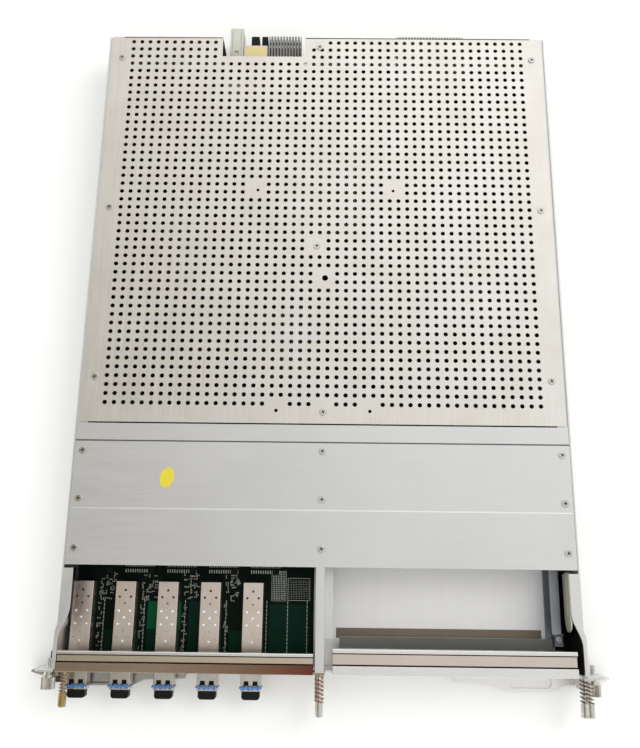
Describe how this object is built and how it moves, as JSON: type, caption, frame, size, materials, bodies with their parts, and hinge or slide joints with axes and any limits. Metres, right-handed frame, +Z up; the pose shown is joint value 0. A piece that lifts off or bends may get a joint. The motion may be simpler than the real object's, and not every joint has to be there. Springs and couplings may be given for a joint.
{
  "type": "switch line card",
  "caption": "Flat switch line card carrier: perforated rear cover, plain front cover, a pull-out port card with plugged modules, a blank bay, ejector levers and sprung captive screws.",
  "frame": {"origin": "on the underside of the tray, halfway between its sides and between the front plates and the cover's back edge", "axes": "+X to the right seen from above with the ports towards the viewer, +Y to the backplane end, +Z up through the covers"},
  "size_m": [0.4114, 0.5434, 0.0417],
  "materials": {
    "zinc_sheet": "zinc-plated sheet, satin",
    "satin_sheet": "fine satin sheet",
    "nickel_panel": "warm nickel-plated panel",
    "cage_sheet": "plated thin sheet",
    "plated_screw": "bright zinc plate",
    "brass_screw": "passivated brass",
    "spring_steel": "drawn wire",
    "copper_spring": "copper-coloured wire",
    "cast_lever": "die-cast, satin",
    "green_board": "dark green solder mask",
    "black_chip": "moulded package",
    "anodised_fins": "clear anodised",
    "black_moulding": "glass-filled moulding",
    "grey_wafers": "grey contact wafers",
    "white_moulding": "pale moulding",
    "pale_moulding": "pale pink-white moulding",
    "module_nickel": "nickel-plated die casting",
    "blue_bail": "blue sleeve",
    "soft_plug": "black moulded plug"
  },
  "bodies": {
    "carrier": {"bottom_pan": "zinc_sheet", "front_sill": "zinc_sheet", "left_side_plate": "satin_sheet", "left_captive_anchor": "satin_sheet", "right_side_plate": "satin_sheet", "inner_guides": "zinc_sheet", "card_rails": "zinc_sheet", "centre_divider": "satin_sheet", "perforated_cover": "zinc_sheet", "front_cover": "satin_sheet", "perforated_cover_screws": "plated_screw", "front_cover_screws": "plated_screw", "pivot_brackets": "cast_lever", "lever_pins": "plated_screw", "main_board": "green_board", "processor_chips": "black_chip", "heat_sinks": "anodised_fins", "memory_modules": "green_board", "power_modules": "black_chip", "guide_socket": "white_moulding", "power_connector": "pale_moulding", "keying_blocks": "black_moulding", "left_signal_connector": "grey_wafers", "right_signal_connector": "grey_wafers", "card_socket": "black_moulding", "right_upper_spring": "spring_steel", "right_lower_spring": "spring_steel"},
    "left_lever": {"left_ejector_lever": "cast_lever"},
    "right_lever": {"right_ejector_lever": "cast_lever"},
    "left_thumb": {"left_thumb_screw": "plated_screw"},
    "right_thumb": {"right_thumb_screw": "plated_screw"},
    "port_card": {"port_card_panel": "nickel_panel", "port_card_board": "green_board", "port_card_chips": "black_chip", "port_card_connector": "black_moulding", "port_cages": "cage_sheet", "left_spring": "spring_steel", "centre_upper_spring": "copper_spring"},
    "blank": {"blank_panel": "nickel_panel", "centre_lower_spring": "copper_spring"},
    "left_captive": {"left_captive_screw": "brass_screw"},
    "centre_upper_captive": {"centre_upper_captive_screw": "plated_screw"},
    "centre_lower_captive": {"centre_lower_captive_screw": "plated_screw"},
    "right_upper_captive": {"right_upper_captive_screw": "plated_screw"},
    "right_lower_captive": {"right_lower_captive_screw": "plated_screw"},
    "module_1": {"port_module_1": "module_nickel"},
    "bail_1": {"module_bail_1": "blue_bail"},
    "plug_1": {"dust_plug_1": "soft_plug"},
    "module_2": {"port_module_2": "module_nickel"},
    "bail_2": {"module_bail_2": "blue_bail"},
    "plug_2": {"dust_plug_2": "soft_plug"},
    "module_3": {"port_module_3": "module_nickel"},
    "bail_3": {"module_bail_3": "blue_bail"},
    "plug_3": {"dust_plug_3": "soft_plug"},
    "module_4": {"port_module_4": "module_nickel"},
    "bail_4": {"module_bail_4": "blue_bail"},
    "plug_4": {"dust_plug_4": "soft_plug"},
    "module_5": {"port_module_5": "module_nickel"},
    "bail_5": {"module_bail_5": "blue_bail"},
    "plug_5": {"dust_plug_5": "soft_plug"}
  },
  "joints": [
    {"name": "left_lever_swing", "type": "hinge", "parent": "carrier", "child": "left_lever", "pos_m": [-0.186, -0.252, 0.0049], "axis": [0, 0, -1], "range_deg": [0, 65]},
    {"name": "right_lever_swing", "type": "hinge", "parent": "carrier", "child": "right_lever", "pos_m": [0.186, -0.252, 0.0049], "axis": [0, 0, 1], "range_deg": [0, 65]},
    {"name": "left_thumb_turn", "type": "hinge", "parent": "carrier", "child": "left_thumb", "pos_m": [-0.1858, -0.2545, 0.02675], "axis": [0, -1, 0], "continuous": true},
    {"name": "right_thumb_turn", "type": "hinge", "parent": "carrier", "child": "right_thumb", "pos_m": [0.1872, -0.2545, 0.02675], "axis": [0, -1, 0], "continuous": true},
    {"name": "port_card_slide", "type": "slide", "parent": "carrier", "child": "port_card", "axis": [0, -1, 0], "range_m": [0, 0.15]},
    {"name": "blank_panel_slide", "type": "slide", "parent": "carrier", "child": "blank", "axis": [0, -1, 0], "range_m": [0, 0.06]},
    {"name": "left_captive_push", "type": "slide", "parent": "port_card", "child": "left_captive", "axis": [0, 1, 0], "range_m": [0, 0.008], "stiffness_N_per_m": 350, "deforming": ["left_spring"]},
    {"name": "centre_upper_captive_push", "type": "slide", "parent": "port_card", "child": "centre_upper_captive", "axis": [0, 1, 0], "range_m": [0, 0.008], "stiffness_N_per_m": 350, "deforming": ["centre_upper_spring"]},
    {"name": "centre_lower_captive_push", "type": "slide", "parent": "blank", "child": "centre_lower_captive", "axis": [0, 1, 0], "range_m": [0, 0.008], "stiffness_N_per_m": 350, "deforming": ["centre_lower_spring"]},
    {"name": "right_upper_captive_push", "type": "slide", "parent": "carrier", "child": "right_upper_captive", "axis": [0, 1, 0], "range_m": [0, 0.008], "stiffness_N_per_m": 350, "deforming": ["right_upper_spring"]},
    {"name": "right_lower_captive_push", "type": "slide", "parent": "carrier", "child": "right_lower_captive", "axis": [0, 1, 0], "range_m": [0, 0.008], "stiffness_N_per_m": 350, "deforming": ["right_lower_spring"]},
    {"name": "module_1_slide", "type": "slide", "parent": "port_card", "child": "module_1", "axis": [0, -1, 0], "range_m": [0, 0.043]},
    {"name": "bail_1_swing", "type": "hinge", "parent": "module_1", "child": "bail_1", "pos_m": [-0.1688, -0.258, 0.0123], "axis": [1, 0, 0], "range_deg": [0, 35]},
    {"name": "plug_1_pull", "type": "slide", "parent": "module_1", "child": "plug_1", "axis": [0, -1, 0], "range_m": [0, 0.0082]},
    {"name": "module_2_slide", "type": "slide", "parent": "port_card", "child": "module_2", "axis": [0, -1, 0], "range_m": [0, 0.043]},
    {"name": "bail_2_swing", "type": "hinge", "parent": "module_2", "child": "bail_2", "pos_m": [-0.1385, -0.258, 0.0123], "axis": [1, 0, 0], "range_deg": [0, 35]},
    {"name": "plug_2_pull", "type": "slide", "parent": "module_2", "child": "plug_2", "axis": [0, -1, 0], "range_m": [0, 0.0082]},
    {"name": "module_3_slide", "type": "slide", "parent": "port_card", "child": "module_3", "axis": [0, -1, 0], "range_m": [0, 0.043]},
    {"name": "bail_3_swing", "type": "hinge", "parent": "module_3", "child": "bail_3", "pos_m": [-0.1082, -0.258, 0.0123], "axis": [1, 0, 0], "range_deg": [0, 35]},
    {"name": "plug_3_pull", "type": "slide", "parent": "module_3", "child": "plug_3", "axis": [0, -1, 0], "range_m": [0, 0.0082]},
    {"name": "module_4_slide", "type": "slide", "parent": "port_card", "child": "module_4", "axis": [0, -1, 0], "range_m": [0, 0.043]},
    {"name": "bail_4_swing", "type": "hinge", "parent": "module_4", "child": "bail_4", "pos_m": [-0.0779, -0.258, 0.0123], "axis": [1, 0, 0], "range_deg": [0, 35]},
    {"name": "plug_4_pull", "type": "slide", "parent": "module_4", "child": "plug_4", "axis": [0, -1, 0], "range_m": [0, 0.0082]},
    {"name": "module_5_slide", "type": "slide", "parent": "port_card", "child": "module_5", "axis": [0, -1, 0], "range_m": [0, 0.043]},
    {"name": "bail_5_swing", "type": "hinge", "parent": "module_5", "child": "bail_5", "pos_m": [-0.0476, -0.258, 0.0123], "axis": [1, 0, 0], "range_deg": [0, 35]},
    {"name": "plug_5_pull", "type": "slide", "parent": "module_5", "child": "plug_5", "axis": [0, -1, 0], "range_m": [0, 0.0082]}
  ]
}
